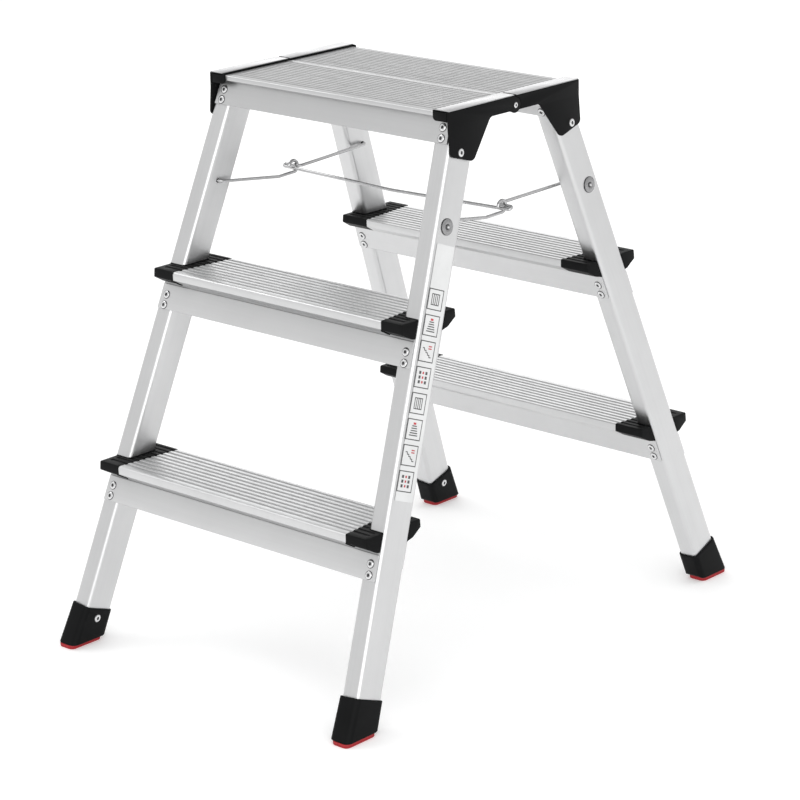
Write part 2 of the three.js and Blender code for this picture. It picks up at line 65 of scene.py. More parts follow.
# Treads and their caps
TREAD_TOPS = {"lower": 220, "upper": 440}
NOSE_OUT = 48.4
NOSE_IN = 39.4
NOSE_DROP = 10
NOSE_ROUND = 2.6
DECK_THICKNESS = 2.4
FLANGE = 1.8
FLANGE_CLEARANCE = 0.3
FLANGE_INSIDE = LEG_HALF_DEPTH + FLANGE_CLEARANCE
FLANGE_OUTSIDE = FLANGE_INSIDE + FLANGE
FLANGE_DROP_OUT = 50
FLANGE_DROP_IN = 48
SLOPE_FOOT = (-34.2, -18.4)
INNER_DROP = 8.8
INNER_FOOT = (25.6, -17)
TREAD_END_INSET = 3.4
NOTCH_DROP = 19.4
CAP_WIDTH_OUT = 31
CAP_WIDTH_IN = 40
CAP_PROUD = 0.5
CAP_BORDER = 7.5
RIB_FIRST = -41.2
RIB_PITCH = 8.68
RIBS = 10
GROOVE_WIDTH = 4.3
GROOVE_DEPTH = 0.8
RELIEF = 0.6
RELIEF_TOP = 19
RELIEF_BOTTOM = 22

# Platform and hinge brackets
DECK_TOP = 657
DECK_HALF_LENGTH = 181.3
DECK_EDGE_Y = 111.2
DECK_LIP = 5.4
SEAM_HALF_GAP = 0.4
SEAM_LIP = 5.6
PLATFORM_FLANGE_BOTTOM = 622
PLATFORM_BORDER = 4
SEAM_BORDER = 1
PLATFORM_RIBS = 15
PLATFORM_RIB_PITCH = (DECK_EDGE_Y - PLATFORM_BORDER - SEAM_BORDER) / PLATFORM_RIBS
PLATFORM_GROOVE_HALF = PLATFORM_RIB_PITCH / 5
PLATFORM_GROOVE_SLOPE = 0.2
PLATFORM_GROOVE_DEPTH = 0.6
HINGE_Z = 648
BRACKET_X = 184.6
BRACKET_THICKNESS = 3
BRACKET_EDGE_Y = 113.5
WEB_BOTTOM = 642
BRACKET_BEND_Z = WEB_BOTTOM - 0.8
EAR_RADIUS = 9
EAR_CLEARANCE = 0.4
EAR_ARC = (-118, 88)
RECESS_ARC = (-140, -267.5)
TOP_FLANGE_WIDTH = 21
TOP_FLANGE = (657.3, 658.9)
EDGE_TAB_WIDTH = 24
EDGE_TAB_BOTTOM = 647

# Feet
SHOE_WALL = 2.2
SHOE_BOTTOM = 5
SHOE_TOP = 42.8
SHOE_TOP_FALL = 0.362
TOE_FLARE = 5
FLARE_START = 2
FLARE_LENGTH = 12
FLARE_RISE = 20
HEEL_REACH = 12
HEEL_CHAMFER = 13.5
SOLE_CORNER = 7

# Fasteners and stays
RIVET_RADIUS = 5
FLANGE_RIVETS = {
    "lower_tread": {"out": (187.7, 175.9), "in": (189.1, 177.7)},
    "upper_tread": {"out": (406.5, 394.8), "in": (408.4, 396.3)},
    "platform": {"out": (639, 627.5), "in": (639, 627)},
}
BRACKET_RIVET = {"y": -97, "z": 611.5}
SHOE_RIVET_Z = 31
WIRE_RADIUS = 2
WIRE_SIDES = 18
WIRE_HOLE_RADIUS = WIRE_RADIUS + 0.8
STAY_PIVOT = {"y": 125.5, "z": 534}
STAY_MEET = {"x": 163, "z": 528.5}
STAY_ARM_X = 159.5
STAY_END_X = 194.2
EYE_RADIUS = 7
EYE_TURN = 275
EYE_STEPS = 24
EYE_LEAN = 1.2
HAIRPIN_X = 177
HAIRPIN_HALF = {"y": 2.3, "z": 1.25}
BAIL_CORNER_X = 154.4
BAIL_SAG = {"y": 1.5, "z": 3.4, "radius": 250}
WASHER_RADIUS = 9.5

# Label on the front right leg
LABEL = {"width": 29.5, "bottom": 243, "top": 520, "lift": 0.35, "film": 0.2, "ink": 0.06}
PANEL = {
    "width": 24.6, "height": 23.5, "line": 1.1, "first_z": 457.5, "pitch": 26.9, "count": 8, "shift": 2.6,
}

# The camera, in metres and degrees, and the floor
CAMERA = {"place": (2.2611, -2.5006, 1.3384), "yaw": 42.08, "pitch": -17.65, "roll": -0.98, "lens": 133.3}
FLOOR_HALF_SIZE = 30

# Which of a piece's materials a face takes: its own, a darker copy with painted shade, or the deck's rib tops
# with painted shade
PLAIN, PAINTED_SHADE, RIB_TOP_PAINTED_SHADE = 0, 1, 2

# The angle in degrees past which an edge stays sharp
SHARP = 32
SHARP_ON_CHANNELS = 28


def leg_x(z):
    return LEG_X_AT_TOP + LEG_SPLAY * (HEIGHT - z)


def leg_y(z):
    return -(LEG_Y_AT_TOP + LEG_LEAN * (HEIGHT - z))


def tread_end_x(z):
    return leg_x(z) + LEG_WIDTH / 2 - TREAD_END_INSET


def leg_point(u, v, z):
    """A place in the front right leg: u across it, v in its depth, z the height."""
    return Vector((u + leg_x(z), v / LEG_COSINE + leg_y(z), z))


# ---------------------------------------------------------------- outlines

def softened(points, radius=0.0, steps=3):
    """A closed outline with round corners. A point's third number is its own radius."""
    result = []
    for i, point in enumerate(points):
        here = Vector(point[:2])
        back = Vector(points[i - 1][:2]) - here
        ahead = Vector(points[(i + 1) % len(points)][:2]) - here
        wanted = point[2] if len(point) > 2 else radius
        half = back.angle(ahead) / 2
        if wanted <= 0 or half > 0.49 * math.pi:
            result.append(here)
            continue
        reach = min(wanted / math.tan(half), 0.49 * back.length, 0.49 * ahead.length)
        middle = back.normalized() + ahead.normalized()
        centre = here + middle.normalized() * reach / math.cos(half)
        start = here + back.normalized() * reach - centre
        end = here + ahead.normalized() * reach - centre
        turn = math.atan2(start.cross(end), start.dot(end))
        for k in range(steps + 1):
            angle = turn * k / steps
            c, s = math.cos(angle), math.sin(angle)
            result.append(centre + Vector((start.x * c - start.y * s, start.x * s + start.y * c)))
    return result


def inset(outline, distance):
    """The same number of points, moved inwards by a distance."""
    area = sum(a.cross(b) for a, b in zip(outline, outline[1:] + outline[:1]))
    sign = 1 if area > 0 else -1
    moved = []
    for i, here in enumerate(outline):
        back = (here - outline[i - 1]).normalized()
        ahead = (outline[(i + 1) % len(outline)] - here).normalized()
        normals = [Vector((-edge.y, edge.x)) * sign for edge in (back, ahead)]
        middle = (normals[0] + normals[1]).normalized()
        moved.append(here + middle * distance / max(middle.dot(normals[0]), 0.5))
    return moved


def rounded_rectangle(width, depth, corner, steps=6):
    w, d = width / 2, depth / 2
    return softened([(w, -d), (w, d), (-w, d), (-w, -d)], corner, steps)


# ---------------------------------------------------------------- solids

def loft(rings, joined=False):
    """A closed skin through rings of points. Joined rings close on the first, as in a tube's wall."""
    bm = bmesh.new()
    rows = [[bm.verts.new(point) for point in ring] for ring in rings]
    pairs = list(zip(rows, rows[1:]))
    if joined:
        pairs.append((rows[-1], rows[0]))
    for low, high in pairs:
        for i in range(len(low)):
            bm.faces.new((low[i - 1], low[i], high[i], high[i - 1]))
    if not joined:
        bm.faces.new(rows[0])
        bm.faces.new(rows[-1])
    bmesh.ops.recalc_face_normals(bm, faces=bm.faces)
    return bm


def along_x(outline, places):
    """An outline drawn in (y, z), lofted through places: an x, or a function of y and z, and an inset."""
    rings = []
    for x, shrink in places:
        ring = inset(outline, shrink) if shrink else outline
        rings.append([(x(y, z) if callable(x) else x, y, z) for y, z in ring])
    return loft(rings)


def soft_box(low, high, edge, segments=3):
    bm = bmesh.new()
    bmesh.ops.create_cube(bm, size=1)
    size = [b - a for a, b in zip(low, high)]
    middle = [(a + b) / 2 for a, b in zip(low, high)]
    bmesh.ops.transform(bm, matrix=Matrix.Translation(middle) @ Matrix.Diagonal((*size, 1)), verts=bm.verts)
    bmesh.ops.bevel(bm, geom=bm.edges[:], offset=edge, segments=segments, profile=0.5, affect="EDGES")
    return bm


def lathe(profile, sides=32):
    """A turned solid about Z from (radius, height) pairs that start and end on the axis."""
    rings = []
    for radius, height in profile:
        angles = [2 * math.pi * i / sides for i in range(sides)]
        rings.append([(radius * math.cos(a), radius * math.sin(a), height) for a in angles])
    bm = bmesh.new()
    rows = [[bm.verts.new(point) for point in ring] for ring in rings]
    for low, high in zip(rows, rows[1:]):
        for i in range(sides):
            bm.faces.new((low[i - 1], low[i], high[i], high[i - 1]))
    bmesh.ops.remove_doubles(bm, verts=bm.verts, dist=1e-4)
    bmesh.ops.recalc_face_normals(bm, faces=bm.faces)
    return bm


def pointing(bm, place, direction, spin=0.0):
    """Moves a solid made about Z to a place, with its Z along a direction."""
    turn = Vector((0, 0, 1)).rotation_difference(Vector(direction).normalized())
    bm.transform(Matrix.Translation(place) @ turn.to_matrix().to_4x4() @ Matrix.Rotation(spin, 4, "Z"))
    return bm


def as_mesh(name, bm):
    """Turns a solid into a mesh and frees the solid."""
    mesh = bpy.data.meshes.new(name)
    bm.to_mesh(mesh)
    bm.free()
    return mesh


def linked(name, data):
    """A new object in the scene."""
    item = bpy.data.objects.new(name, data)
    bpy.context.scene.collection.objects.link(item)
    return item


def merged(parts):
    """Several solids as one mesh."""
    whole = bmesh.new()
    for part in parts:
        mesh = as_mesh("part", part)
        whole.from_mesh(mesh)
        bpy.data.meshes.remove(mesh)
    return whole


def carved(bm, cutters):
    """The solid with each cutter taken out of it."""
    body = linked("cut", as_mesh("cut", bm))
    tools = [linked("cut", as_mesh("cut", cutter)) for cutter in cutters]
    for tool in tools:
        modifier = body.modifiers.new("cut", "BOOLEAN")
        modifier.operation = "DIFFERENCE"
        modifier.solver = "EXACT"
        modifier.object = tool
    result = bmesh.new()
    result.from_mesh(body.evaluated_get(bpy.context.evaluated_depsgraph_get()).to_mesh())
    for item in [body, *tools]:
        mesh = item.data
        bpy.data.objects.remove(item)
        bpy.data.meshes.remove(mesh)
    bmesh.ops.remove_doubles(result, verts=result.verts, dist=1e-4)
    return result


def leg_ring(grow, z):
    """The leg's outline at a height, grown outwards."""
    outline = rounded_rectangle(LEG_WIDTH + 2 * grow, LEG_DEPTH + 2 * grow, LEG_CORNER + grow)
    return [leg_point(u, v, z) for u, v in outline]


def leg_prism(grow, low, high):
    return loft([leg_ring(grow, low), leg_ring(grow, high)])


def leg_sleeve(grow_in, grow_out, low, high, edge):
    """A collar round the leg, as one closed wall."""
    rings = [leg_ring(grow_out, low), leg_ring(grow_out, high - edge), leg_ring(grow_out - edge, high)]
    rings += [leg_ring(grow_in + edge, high), leg_ring(grow_in, high - edge), leg_ring(grow_in, low)]
    return loft(rings, joined=True)


def sweep(path, radius, sides=16):
    """A round wire along a path, with domed ends."""
    points = [Vector(point) for point in path]
    tangents = []
    for i in range(len(points)):
        ahead = points[min(i + 1, len(points) - 1)] - points[max(i - 1, 0)]
        tangents.append(ahead.normalized())
    side = tangents[0].orthogonal().normalized()
    stations = []
    for i, (point, tangent) in enumerate(zip(points, tangents)):
        side = (side - tangent * side.dot(tangent)).normalized()
        stations.append((point, tangent, side))

    def ring(point, tangent, side, share):
        up = tangent.cross(side)
        angles = [2 * math.pi * k / sides for k in range(sides)]
        return [point + (side * math.cos(a) + up * math.sin(a)) * radius * share for a in angles]

    rings = []
    dome = [(math.cos(a), math.sin(a)) for a in (1.3, 0.95, 0.5)]
    point, tangent, side = stations[0]
    rings += [ring(point - tangent * radius * s + tangent * radius, tangent, side, c) for c, s in dome]
    stations[0] = (point + tangent * radius, tangent, side)
    last_point, last_tangent, last_side = stations[-1]
    stations[-1] = (last_point - last_tangent * radius, last_tangent, last_side)
    rings += [ring(*station, 1) for station in stations]
    point, tangent, side = stations[-1]
    rings += [ring(point + tangent * radius * s, tangent, side, c) for c, s in reversed(dome)]
    return loft(rings)


def bend(corners, steps=8):
    """A path of straight runs with round bends, from (x, y, z, radius) corners."""
    path = [Vector(corners[0][:3])]
    for i in range(1, len(corners) - 1):
        here, radius = Vector(corners[i][:3]), corners[i][3]
        if not radius:
            path.append(here)
            continue
        back = (Vector(corners[i - 1][:3]) - here).normalized()
        ahead = (Vector(corners[i + 1][:3]) - here).normalized()
        half = back.angle(ahead) / 2
        centre = here + (back + ahead).normalized() * radius / math.sin(half)
        start = here + back * radius / math.tan(half) - centre
        end = here + ahead * radius / math.tan(half) - centre
        turn = start.rotation_difference(end)
        for k in range(steps + 1):
            part = Matrix.Rotation(turn.angle * k / steps, 3, turn.axis)
            path.append(centre + part @ start)
    path.append(Vector(corners[-1][:3]))
    return path


# ---------------------------------------------------------------- materials

class Shader:
    """A procedural material. Inputs given as sockets are linked, and others are set on the node."""

    def __init__(self, name):
        self.material = bpy.data.materials.new(name)
        self.material.use_nodes = True
        self.tree = self.material.node_tree
        self.surface = self.tree.nodes["Principled BSDF"]

    def add(self, kind, values=None, **settings):
        node = self.tree.nodes.new("ShaderNode" + kind)
        for key, value in settings.items():
            setattr(node, key, value)
        self.fill(node, values or {})
        return node

    def fill(self, node, values):
        for key, value in values.items():
            if isinstance(value, bpy.types.NodeSocket):
                self.tree.links.new(value, node.inputs[key])
            else:
                node.inputs[key].default_value = value

    def math(self, operation, a, b=0.0):
        return self.add("Math", {0: a, 1: b}, operation=operation).outputs[0]

    def place(self):
        """The point in the part's frame, in metres."""
        return self.add("TexCoord").outputs["Object"]

    def along(self, lean, stretch):
        """Coordinates that follow the grain. Lean is true for the legs, whose grain runs down the splay."""
        x, y, z = self.add("SeparateXYZ", {0: self.place()}).outputs
        if lean:
            x = self.math("ADD", self.math("ABSOLUTE", x), self.math("MULTIPLY", z, LEG_SPLAY))
            y = self.math("ADD", self.math("ABSOLUTE", y), self.math("MULTIPLY", z, LEG_LEAN))
        joined = self.add("CombineXYZ", {0: x, 1: y, 2: z}).outputs[0]
        return self.add("VectorMath", {0: joined, 1: stretch}, operation="MULTIPLY").outputs[0]

    def noise(self, vector, scale, detail=3.0, roughness=0.5):
        values = {"Vector": vector, "Scale": scale, "Detail": detail, "Roughness": roughness}
        return self.add("TexNoise", values).outputs["Fac"]

    def spread(self, value, low, high, from_low=0.3, from_high=0.7):
        values = {"Value": value, "From Min": from_low, "From Max": from_high, "To Min": low, "To Max": high}
        return self.add("MapRange", values).outputs["Result"]

    def mix(self, share, a, b):
        node = self.add("Mix", data_type="RGBA")
        self.fill(node, {0: share, 6: (*a, 1), 7: (*b, 1)})
        return node.outputs[2]

    def bump(self, height, distance, strength=1.0, normal=None):
        values = {"Height": height, "Distance": distance, "Strength": strength}
        if normal:
            values["Normal"] = normal
        return self.add("Bump", values).outputs["Normal"]

    def finish(self, **values):
        names = {"color": "Base Color", "metallic": "Metallic", "roughness": "Roughness", "normal": "Normal",
                 "specular": "Specular IOR Level", "coat": "Coat Weight", "coat_roughness": "Coat Roughness"}
        self.fill(self.surface, {names[key]: value for key, value in values.items()})
        return self.material


def extruded_aluminium(name, lean, stretch, dark, light, roughness):
    """Mill-finish aluminium: die lines along the grain, cloudy patches and a few fine rubs."""
    shader = Shader(name)
    grain = shader.along(lean, stretch)
    lines = shader.noise(grain, 1.0, 4.0, 0.65)
    clouds = shader.noise(shader.place(), 9.0, 3.0)
    patches = shader.noise(shader.place(), 55.0, 4.0, 0.6)
    rubs = shader.spread(shader.noise(grain, 0.16, 2.0), 0.0, 1.0, 0.6, 0.68)
    tone = shader.math("ADD", shader.spread(lines, 0.0, 0.45), shader.spread(clouds, 0.0, 0.55))
    color = shader.mix(tone, dark, light)
    gloss = shader.math("ADD", shader.spread(lines, roughness - 0.05, roughness + 0.05),
                        shader.spread(patches, -0.03, 0.04))
    gloss = shader.math("ADD", gloss, shader.math("MULTIPLY", rubs, 0.05))
    fine = shader.bump(lines, 0.00004, 0.35)
    normal = shader.bump(patches, 0.0002, 0.06, fine)
    return shader.finish(color=color, metallic=1.0, roughness=gloss, normal=normal)


def moulded_plastic():
    """Black polypropylene: a fine spark-eroded grain, faint flow marks and dust on its upper faces."""
    shader = Shader("black_plastic_moulded")
    grain = shader.noise(shader.place(), 1900.0, 2.0, 0.6)
    flow = shader.noise(shader.place(), 30.0, 3.0)
    facing = shader.add("NewGeometry").outputs["Normal"]
    up = shader.spread(shader.add("SeparateXYZ", {0: facing}).outputs[2], 0.0, 0.5, 0.3, 1.0)
    dust = shader.math("MULTIPLY", up, shader.noise(shader.place(), 160.0, 4.0, 0.7))
    tone = shader.math("ADD", shader.spread(flow, 0.0, 0.4), dust)
    color = shader.mix(tone, (0.004, 0.0042, 0.0045), (0.0085, 0.0087, 0.009))
    roughness = shader.math("ADD", shader.spread(flow, 0.46, 0.54), shader.math("MULTIPLY", dust, 0.12))
    return shader.finish(color=color, roughness=roughness, normal=shader.bump(grain, 0.00005, 0.3),
                         specular=0.08)


def sole_rubber():
    """Red rubber, matte, with fine moulding layers round its edge."""
    shader = Shader("sole_rubber_red")
    layers = shader.noise(shader.along(False, (12, 12, 1500)), 1.0, 1.0)
    scuff = shader.noise(shader.place(), 240.0, 4.0, 0.65)
    color = shader.mix(shader.spread(scuff, 0.0, 1.0), (0.28, 0.006, 0.011), (0.44, 0.014, 0.02))
    height = shader.math("ADD", shader.math("MULTIPLY", layers, 0.7), shader.math("MULTIPLY", scuff, 0.5))
    return shader.finish(color=color, roughness=shader.spread(scuff, 0.5, 0.68),
                         normal=shader.bump(height, 0.0002, 0.4))


def plated_steel(name, dark, light, roughness, scale, stretch=(1, 1, 1)):
    """Zinc-plated steel: a soft spangle under a bright skin with faint drawing marks."""
    shader = Shader(name)
    spangle = shader.noise(shader.place(), scale, 3.0, 0.6)
    marks = shader.noise(shader.along(False, stretch), 420.0, 3.0)
    color = shader.mix(shader.spread(spangle, 0.0, 1.0), dark, light)
    gloss = shader.math("ADD", shader.spread(spangle, roughness - 0.06, roughness + 0.06),
                        shader.spread(marks, -0.04, 0.04))
    return shader.finish(color=color, metallic=1.0, roughness=gloss, normal=shader.bump(marks, 0.00004, 0.1))


def printed(name, dark, light, roughness):
    """Label film and inks: a slight unevenness under a satin laminate."""
    shader = Shader(name)
    fibre = shader.noise(shader.place(), 700.0, 3.0)
    haze = shader.noise(shader.place(), 40.0, 2.0)
    color = shader.mix(shader.spread(haze, 0.0, 1.0), dark, light)
    return shader.finish(color=color, roughness=shader.spread(fibre, roughness - 0.06, roughness + 0.06),
                         normal=shader.bump(fibre, 0.00003, 0.2), coat=0.25, coat_roughness=0.3)


ALUMINIUM_DARK = (0.6, 0.602, 0.605)
ALUMINIUM_LIGHT = (0.66, 0.662, 0.665)
# Grains: how far the die lines stretch along each axis
GRAIN_DOWN = (650, 650, 3)
GRAIN_ACROSS = (3, 650, 650)
GRAIN_ALONG_Y = (500, 4, 500)
LEG_DARK = (0.61, 0.612, 0.615)
LEG_LIGHT = (0.67, 0.672, 0.675)
MATERIALS = {
    "leg": extruded_aluminium("leg_aluminium", True, GRAIN_DOWN, LEG_DARK, LEG_LIGHT, 0.36),
    "wide": extruded_aluminium("tread_aluminium", False, GRAIN_ACROSS, ALUMINIUM_DARK, ALUMINIUM_LIGHT, 0.4),
    # Painted shade: a darker copy of the tread aluminium for its grooves, the nose's downward chamfer, the
    # relief and the flanges' bottom rims
    "recess": extruded_aluminium("tread_aluminium_painted_shade", False, GRAIN_ACROSS, (0.42, 0.422, 0.425),
                                 (0.48, 0.482, 0.485), 0.5),
    "deck": extruded_aluminium("platform_aluminium", False, GRAIN_ACROSS, (0.54, 0.542, 0.545),
                               (0.6, 0.602, 0.605), 0.4),
    # Painted shade: the deck's rib tops take a darker copy of the aluminium than its apron, and its grooves
    # (the fine key) a darker one still
    "deck_rib_painted_shade": extruded_aluminium("deck_rib_aluminium_painted_shade", False, GRAIN_ACROSS, (0.39, 0.391, 0.393),
                               (0.45, 0.451, 0.453), 0.42),
    "fine": extruded_aluminium("deck_groove_aluminium_painted_shade", False, GRAIN_ACROSS, (0.36, 0.361, 0.363),
                               (0.42, 0.421, 0.423), 0.5),
    "bright": extruded_aluminium("strip_aluminium", False, GRAIN_ALONG_Y, (0.42, 0.42, 0.425),
                                 (0.48, 0.48, 0.485), 0.3),
    "black": moulded_plastic(),
    "rubber": sole_rubber(),
    "rivet": plated_steel("rivet_steel_bright", (0.66, 0.665, 0.67), (0.78, 0.78, 0.785), 0.22, 900.0),
    # Painted shade: dark steel for the ring round rivet heads, their hollows, and the washers' edges and
    # hollows
    "steel_painted_shade": plated_steel("steel_painted_shade_dark", (0.05, 0.05, 0.052), (0.1, 0.1, 0.102), 0.5, 900.0),
    "washer": plated_steel("washer_steel_grey", (0.27, 0.27, 0.275), (0.38, 0.38, 0.385), 0.3, 700.0),
    "wire": plated_steel("wire_steel_bright", (0.43, 0.43, 0.435), (0.55, 0.55, 0.555), 0.2, 500.0),
    "film": printed("label_film_pale", (0.66, 0.665, 0.665), (0.72, 0.725, 0.725), 0.4),
    "ink": printed("label_ink_dark", (0.035, 0.035, 0.037), (0.06, 0.06, 0.062), 0.42),
    "red_ink": printed("label_ink_red", (0.42, 0.02, 0.03), (0.52, 0.04, 0.05), 0.42),
}


# ---------------------------------------------------------------- pieces

def piece(name, bm, materials, body, slot, replaces=(), sharp=SHARP):
    """Turns a solid in millimetres into a named piece that rides on a body."""
    bm.transform(Matrix.Scale(MM, 4))
    mesh = as_mesh(name, bm)
    for key in materials if isinstance(materials, tuple) else (materials,):
        mesh.materials.append(MATERIALS[key])
    mesh.polygons.foreach_set("use_smooth", [True] * len(mesh.polygons))
    mesh.set_sharp_from_angle(angle=math.radians(sharp))
    item = linked(name, mesh)
    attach(item, body)
    if replaces:
        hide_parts(*replaces)
    return item


def turned(bm, half, end):
    """A copy of a front right solid for another end: mirrored for the other end, turned for the rear half."""
    copy = bm.copy()
    if end < 0:
        copy.transform(Matrix.Diagonal((-1, 1, 1, 1)))
        bmesh.ops.reverse_faces(copy, faces=copy.faces[:])
    if half == "rear":
        copy.transform(Matrix.Rotation(math.pi, 4, "Z"))
    return copy


def leg_tube():
    """The leg's extrusion, with a hole in its outer face for the end of a stay."""
    tube = loft([leg_ring(0, LEG_BOTTOM), leg_ring(0, LEG_TOP), leg_ring(-LEG_WALL, LEG_TOP),
                 leg_ring(-LEG_WALL, LEG_BOTTOM)], joined=True)
    z = STAY_PIVOT["z"]
    hole = lathe([(0, -30), (WIRE_HOLE_RADIUS, -30), (WIRE_HOLE_RADIUS, 0), (0, 0)], 20)
    return carved(tube, [pointing(hole, (leg_x(z), -STAY_PIVOT["y"], z), (1, 0, 0))])


def flange_y(drop, offset):
    """The y of a flange that leans with the legs, at a drop below the tread's top."""
    return -LEG_LEAN * drop + offset


def top_grooves(proud, depth, round_rim):
    """The points of a tread's top from its outermost rib to its innermost, as (y, z, radius)."""
    points = []
    for i in range(RIBS - 1):
        y = RIB_FIRST + (i + 0.5) * RIB_PITCH
        for side in (-1, 1):
            edge = y + side * GROOVE_WIDTH / 2
            pair = [(edge + side * 0.15, proud, round_rim), (edge - side * 0.15, proud - depth, 0.25)]
            points += pair if side < 0 else pair[::-1]
    return points


def placed(points, y, z):
    return [(point[0] + y, point[1] + z, *point[2:]) for point in points]


def tread_outline(top):
    outer = [
        (flange_y(FLANGE_DROP_OUT, -FLANGE_OUTSIDE), -FLANGE_DROP_OUT, 0.6),
        (flange_y(RELIEF_BOTTOM, -FLANGE_OUTSIDE), -RELIEF_BOTTOM, 0.2),
        (flange_y(RELIEF_BOTTOM - 0.3, -FLANGE_OUTSIDE + RELIEF), -RELIEF_BOTTOM + 0.3, 0.2),
        (flange_y(RELIEF_TOP, -FLANGE_OUTSIDE + RELIEF), -RELIEF_TOP, 0.5),
        (*SLOPE_FOOT, 1.2), (-NOSE_OUT, -NOSE_DROP, 1.2), (-NOSE_OUT, 0, NOSE_ROUND),
        *top_grooves(0, GROOVE_DEPTH, 0.3),
        (NOSE_IN, 0, 1.1), (NOSE_IN, -INNER_DROP, 1.0), (*INNER_FOOT, 1.0),
        (flange_y(17.4, FLANGE_OUTSIDE), -17.4, 0.6),
        (flange_y(FLANGE_DROP_IN, FLANGE_OUTSIDE), -FLANGE_DROP_IN, 0.6),
    ]
    inner = [
        (flange_y(FLANGE_DROP_IN, FLANGE_INSIDE), -FLANGE_DROP_IN, 0.6),
        (flange_y(15.6, FLANGE_INSIDE), -15.6, 0.5), (26, -15.2),
        (NOSE_IN - FLANGE, -8.2), (NOSE_IN - FLANGE, -DECK_THICKNESS),
        (-NOSE_OUT + FLANGE, -DECK_THICKNESS, 2), (-NOSE_OUT + FLANGE, -9), (-33.2, -16.6),
        (flange_y(17, -FLANGE_INSIDE), -17, 0.5),
        (flange_y(FLANGE_DROP_OUT, -FLANGE_INSIDE), -FLANGE_DROP_OUT, 0.6),
    ]
    return softened(placed(outer + inner, leg_y(top), top))


def cap_edge(top):
    """The x of the slanting line where the tread's deck ends, as a function of y."""
    slope = (CAP_WIDTH_IN - CAP_WIDTH_OUT) / (NOSE_IN + NOSE_OUT)
    nose = leg_y(top) - NOSE_OUT
    return lambda y: tread_end_x(top) - CAP_WIDTH_OUT - slope * (y - nose)


def shade(bm, finish):
    """Gives each face the material whose number its middle and normal call for; treads and the platform use
    it to paint shade.
    """
    bmesh.ops.recalc_face_normals(bm, faces=bm.faces)
    for face in bm.faces:
        face.material_index = finish(face.calc_center_median(), face.normal)
    return bm


def tread(top):
    bar = along_x(tread_outline(top), [(lambda y, z: -tread_end_x(z), 0), (lambda y, z: tread_end_x(z), 0)])
    edge = cap_edge(top)
    low, high = leg_y(top) - NOSE_OUT - 5, leg_y(top) + NOSE_IN + 5
    cutters = []
    for end in (1, -1):
        plan = [(edge(low) * end, low), (260 * end, low), (260 * end, high), (edge(high) * end, high)]
        cutters.append(loft([[(x, y, z) for x, y in plan] for z in (top - NOTCH_DROP, top + 5)]))

    # Painted shade: grooves, the nose's downward chamfer, the relief below it and the flanges' bottom rims
    # take the darker recess aluminium
    def finish(middle, normal):
        drop = top - middle.z
        across = middle.y - leg_y(top)
        groove = 0.3 < drop < GROOVE_DEPTH + 0.1 and abs(across) < NOSE_OUT - 8 and normal.z > 0
        slope = NOSE_DROP - 1.5 < drop < 18.6 and normal.z < -0.35 and across < 0
        level = RELIEF_TOP - 0.5 < drop < RELIEF_BOTTOM + 0.1 and across < 0
        relief = level and normal.y < 0.2 and abs(normal.x) < 0.5
        rim = drop > FLANGE_DROP_IN - 2 and normal.z < -0.2
        return PAINTED_SHADE if groove or slope or relief or rim else PLAIN
    return shade(carved(bar, cutters), finish)


def tread_cap(top):
    """The moulded end of a tread: grooves that carry on the tread's own and stop short of a smooth border."""
    bottom = NOTCH_DROP - 0.3

    def ring(x, depth, shrink=0.0):
        proud = CAP_PROUD - shrink
        section = softened(placed([
            (flange_y(bottom, -FLANGE_OUTSIDE), -bottom, 0.4), (*SLOPE_FOOT, 1.0),
            (-NOSE_OUT - proud, -NOSE_DROP - proud / 2, 1.2), (-NOSE_OUT - proud, proud, 1.3),
            *top_grooves(proud, depth, 0.45),
            (NOSE_IN + proud, proud, 1.3), (NOSE_IN + proud, -INNER_DROP - proud / 2, 1.2),
            (*INNER_FOOT, 1.0),
            (flange_y(bottom, FLANGE_OUTSIDE), -bottom, 0.4),
        ], leg_y(top), top))
        return [(x(y, z), y, z) for y, z in section]

    edge = cap_edge(top)

    def border(distance):
        return lambda y, z: tread_end_x(z) - distance

    rings = [
        ring(lambda y, z: edge(y) + 0.3, GROOVE_DEPTH), ring(border(CAP_BORDER), GROOVE_DEPTH),
        ring(border(CAP_BORDER - 0.7), 0.03), ring(border(1.1), 0.03), ring(border(0.55), 0.03, 0.12),
        ring(border(0.2), 0.03, 0.4), ring(border(0), 0.03, 0.9),
    ]
    cap = carved(loft(rings), [leg_prism(0.4, top - 40, top + 20)])
    beyond = loft([[(tread_end_x(z) + dx, y, z) for dx, y in ((-0.3, -500), (-0.3, 0), (40, 0), (40, -500))]
                   for z in (top - 10, top + 10)])
    collar = carved(leg_sleeve(0.35, 1.5, top - 4, top + 1.3, 0.4), [beyond])
    return merged([cap, collar, nose_tongue(top)])


def nose_tongue(top):
    """The thin lip of a cap that reaches on under the tread's nose."""
    low, high = Vector((-35.2, -17.6)), Vector((-NOSE_OUT + 0.4, -NOSE_DROP - 0.4))
    out = Vector((high.y - low.y, low.x - high.x)).normalized() * -1
    outline = [(p.x, p.y, 0.3) for p in (low, high, high + out * 1.3, low + out * 1.3)]
    edge = cap_edge(top)
    section = softened(placed(outline, leg_y(top), top))
    return along_x(section, [(lambda y, z: edge(y) - 1, 0.3), (lambda y, z: edge(y) - 0.7, 0),
                             (lambda y, z: edge(y) + 3, 0)])


